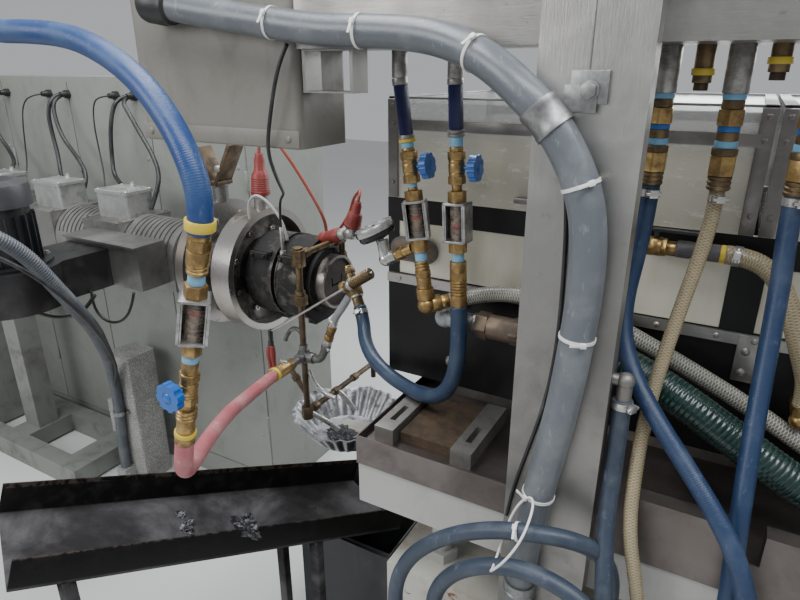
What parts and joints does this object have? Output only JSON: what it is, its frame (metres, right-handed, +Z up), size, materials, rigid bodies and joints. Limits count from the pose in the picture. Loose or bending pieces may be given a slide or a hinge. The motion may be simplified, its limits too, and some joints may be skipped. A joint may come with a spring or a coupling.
{
  "type": "profile extrusion line",
  "caption": "Plastic profile extruder and die feeding a vacuum sizing tank with hinged clear lids, with water hoses, valves and an overhead service beam.",
  "frame": {"origin": "middle of the foot of the post at the die end of the tank, on the floor", "axes": "+X downstream along the line, +Y away from the operator, +Z up"},
  "size_m": [6.521, 1.5275, 1.89],
  "materials": {
    "aluminium": "bare",
    "bin_paint": "dark grey, scuffed",
    "black": "black, satin",
    "black_plastic": "moulded",
    "blue_hose": "smooth rubber hose",
    "blue_plastic": "moulded",
    "brass": "dull",
    "burnt": "burnt and black",
    "cabinet": "grey-green enamel, satin",
    "clear": "scratched acrylic",
    "clear_hose": "braided vinyl",
    "console": "beige-grey enamel, matt",
    "foil": "crumpled foil",
    "green_hose": "ribbed suction hose",
    "grey_hose": "moulded hose",
    "painted": "satin grey enamel",
    "pink_hose": "faded rubber hose",
    "red_plastic": "moulded",
    "speckled": "speckled grey coating",
    "stainless": "brushed, stained",
    "steel": "bare, tarnished",
    "white": "white enamel, worn",
    "yellow_hose": "yellowed braided vinyl"
  },
  "bodies": {
    "root": {"barrel": "steel", "barrel_cover": "aluminium", "base_box": "white", "bed_rails": "steel", "blue_hose_1": "blue_hose", "blue_hose_2": "blue_hose", "braided_hose": "clear_hose", "cabinet_plugs": "black_plastic", "clamp_bars": "steel", "clamp_ring": "steel", "conduit": "grey_hose", "control_cabinet": "cabinet", "die_adapter": "burnt", "die_hose": "blue_hose", "die_nose": "steel", "drip_pan": "foil", "drive_motor": "painted", "extruder_base": "painted", "fan_duct": "black", "fan_motor": "black", "feed_hopper": "stainless", "feed_throat": "painted", "flow_meters": "steel", "gear_box": "painted", "grey_hose": "grey_hose", "hanging_meter": "brass", "heater_jackets": "steel", "heater_plugs": "red_plastic", "loop_hose": "blue_hose", "overhead_beam": "stainless", "overhead_console": "console", "pedestal": "speckled", "pink_hose": "pink_hose", "pipe_cross": "brass", "posts": "stainless", "pressure_gauge": "steel", "rear_flange": "steel", "rim_strip": "aluminium", "scrap_bin": "bin_paint", "scrap_chute": "black", "suction_hose": "green_hose", "supply_hose": "blue_hose", "table_frame": "white", "tank_body": "black", "tank_windows": "clear", "terminal_boxes": "aluminium", "tool_plate": "steel", "tray": "stainless", "vacuum_hose": "yellow_hose", "vacuum_valve": "brass", "water_drops": "brass", "yellow_hose": "yellow_hose"},
    "lid_1": {"lid_1": "clear"},
    "lid_2": {"lid_2": "clear"},
    "lid_3": {"lid_3": "clear"},
    "lid_4": {"lid_4": "clear"},
    "valve_wheel_1": {"valve_wheel_1": "blue_plastic"},
    "valve_wheel_2": {"valve_wheel_2": "blue_plastic"},
    "valve_wheel_3": {"valve_wheel_3": "blue_plastic"},
    "valve_lever": {"valve_lever": "black"}
  },
  "joints": [
    {"name": "lid_1_hinge", "type": "hinge", "parent": "root", "child": "lid_1", "pos_m": [-0.1185, 0.784, 1.353], "axis": [-1, 0, 0], "range_deg": [0, 80]},
    {"name": "lid_2_hinge", "type": "hinge", "parent": "root", "child": "lid_2", "pos_m": [0.5535, 0.784, 1.353], "axis": [-1, 0, 0], "range_deg": [0, 80]},
    {"name": "lid_3_hinge", "type": "hinge", "parent": "root", "child": "lid_3", "pos_m": [1.2255, 0.784, 1.353], "axis": [-1, 0, 0], "range_deg": [0, 80]},
    {"name": "lid_4_hinge", "type": "hinge", "parent": "root", "child": "lid_4", "pos_m": [1.8975, 0.784, 1.353], "axis": [-1, 0, 0], "range_deg": [0, 80]},
    {"name": "wheel_1_turn", "type": "hinge", "parent": "root", "child": "valve_wheel_1", "pos_m": [-0.3093, 0.145, 1.4406], "axis": [0.9895, 0, 0.1444], "range_deg": [-360, 360]},
    {"name": "wheel_2_turn", "type": "hinge", "parent": "root", "child": "valve_wheel_2", "pos_m": [-0.2174, 0.145, 1.443], "axis": [0.9986, 0, 0.0523], "range_deg": [-360, 360]},
    {"name": "wheel_3_turn", "type": "hinge", "parent": "root", "child": "valve_wheel_3", "pos_m": [-0.487, -0.3195, 1.1548], "axis": [0, -1, 0], "range_deg": [-360, 360]},
    {"name": "lever_turn", "type": "hinge", "parent": "root", "child": "valve_lever", "pos_m": [0.0775, 0.215, 1.357], "axis": [0, 0, 1], "range_deg": [-90, 0]}
  ]
}
